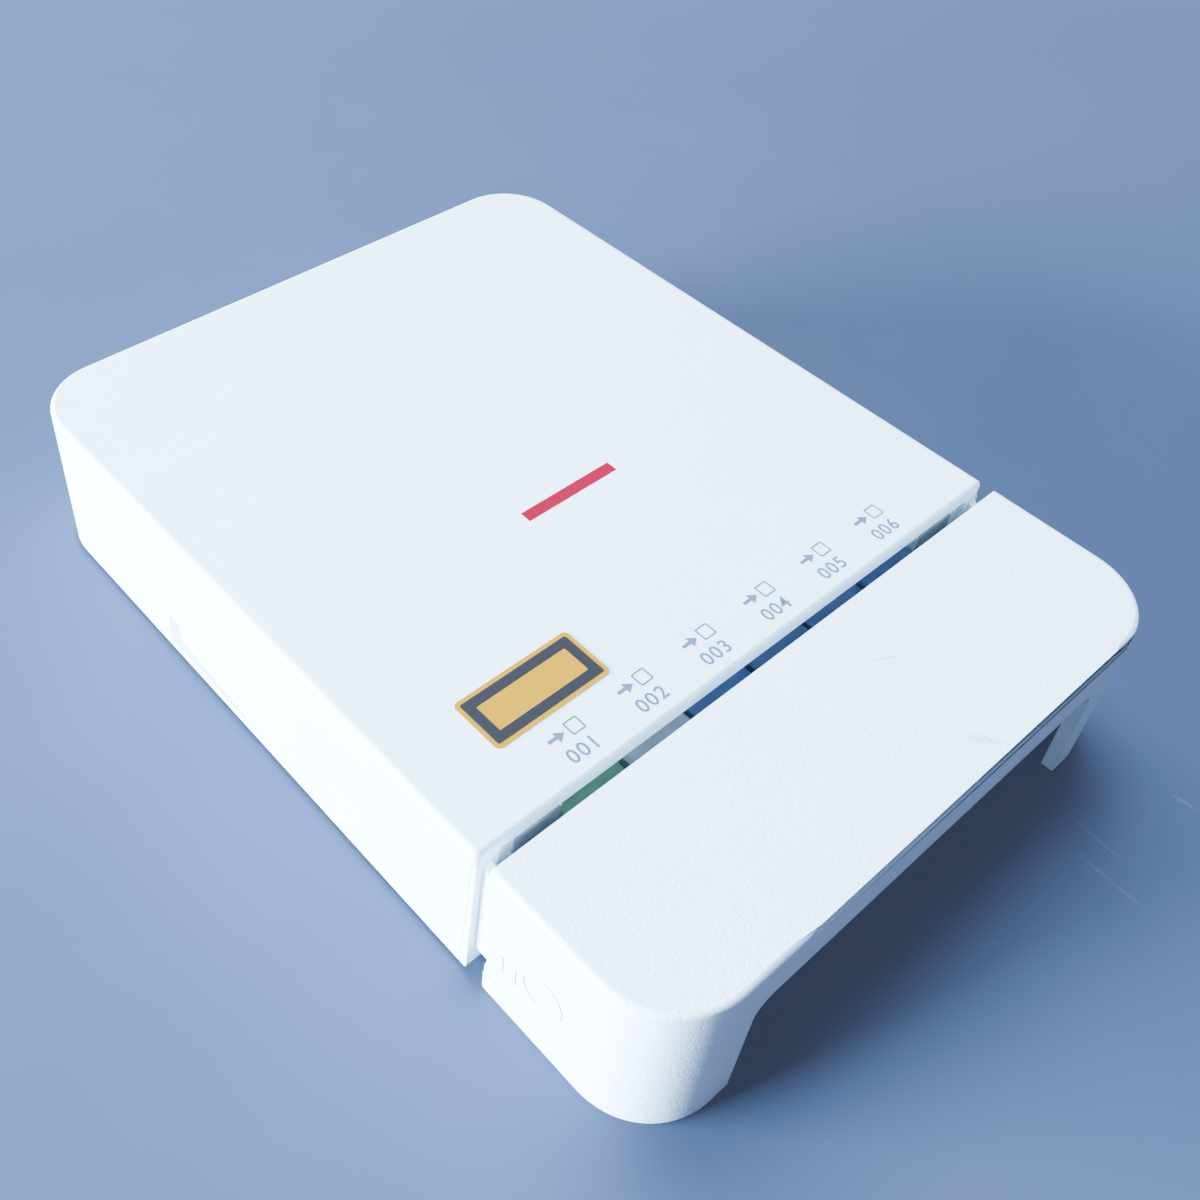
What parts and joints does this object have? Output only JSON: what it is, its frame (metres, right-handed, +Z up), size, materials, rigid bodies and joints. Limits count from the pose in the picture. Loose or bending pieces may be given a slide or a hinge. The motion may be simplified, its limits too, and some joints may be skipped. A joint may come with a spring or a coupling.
{
  "type": "fiber termination box",
  "caption": "Flat white optical fibre termination box with a pull-off hood over a row of simplex ports, an inner splitter and short pigtails.",
  "frame": {"origin": "middle of the underside of the whole box", "axes": "+Z up, +Y to the back along the length, +X to the right seen from the hood"},
  "size_m": [0.115, 0.1572, 0.0316],
  "materials": {
    "shell_plastic": "fine moulded grain",
    "green_plastic": "satin",
    "grey_plastic": "satin",
    "blue_plastic": "satin",
    "latch_plastic": "natural",
    "white_ceramic": "polished ceramic",
    "boot_rubber": "soft",
    "fibre_jacket": "smooth",
    "splitter_steel": "brushed",
    "screw_steel": "zinc",
    "red_trim": "printed",
    "label_film": "printed film"
  },
  "bodies": {
    "root": {"base_tray": "shell_plastic", "top_cover": "shell_plastic", "splitter_module": "splitter_steel", "cover_screws": "screw_steel", "red_strip": "red_trim", "blank_label": "label_film", "input_adapter": "green_plastic", "input_latch": "latch_plastic", "input_sleeve": "white_ceramic", "input_ferrule": "white_ceramic", "input_plug": "green_plastic", "input_boot": "boot_rubber", "input_fibre": "fibre_jacket", "cascade_adapter": "grey_plastic", "cascade_latch": "latch_plastic", "cascade_sleeve": "white_ceramic", "cascade_ferrule": "white_ceramic", "cascade_plug": "blue_plastic", "cascade_boot": "boot_rubber", "cascade_fibre": "fibre_jacket", "output_1_adapter": "blue_plastic", "output_1_latch": "latch_plastic", "output_1_sleeve": "white_ceramic", "output_1_ferrule": "white_ceramic", "output_1_plug": "blue_plastic", "output_1_boot": "boot_rubber", "output_1_fibre": "fibre_jacket", "output_2_adapter": "blue_plastic", "output_2_latch": "latch_plastic", "output_2_sleeve": "white_ceramic", "output_2_ferrule": "white_ceramic", "output_2_plug": "blue_plastic", "output_2_boot": "boot_rubber", "output_2_fibre": "fibre_jacket", "output_3_adapter": "blue_plastic", "output_3_latch": "latch_plastic", "output_3_sleeve": "white_ceramic", "output_3_ferrule": "white_ceramic", "output_3_plug": "blue_plastic", "output_3_boot": "boot_rubber", "output_3_fibre": "fibre_jacket", "output_4_adapter": "blue_plastic", "output_4_latch": "latch_plastic", "output_4_sleeve": "white_ceramic", "output_4_ferrule": "white_ceramic", "output_4_plug": "blue_plastic", "output_4_boot": "boot_rubber", "output_4_fibre": "fibre_jacket"},
    "hood": {"port_hood": "shell_plastic"}
  },
  "joints": [
    {"name": "hood_slide", "type": "slide", "parent": "root", "child": "hood", "axis": [0, -1, 0], "range_m": [0, 0.03]}
  ]
}
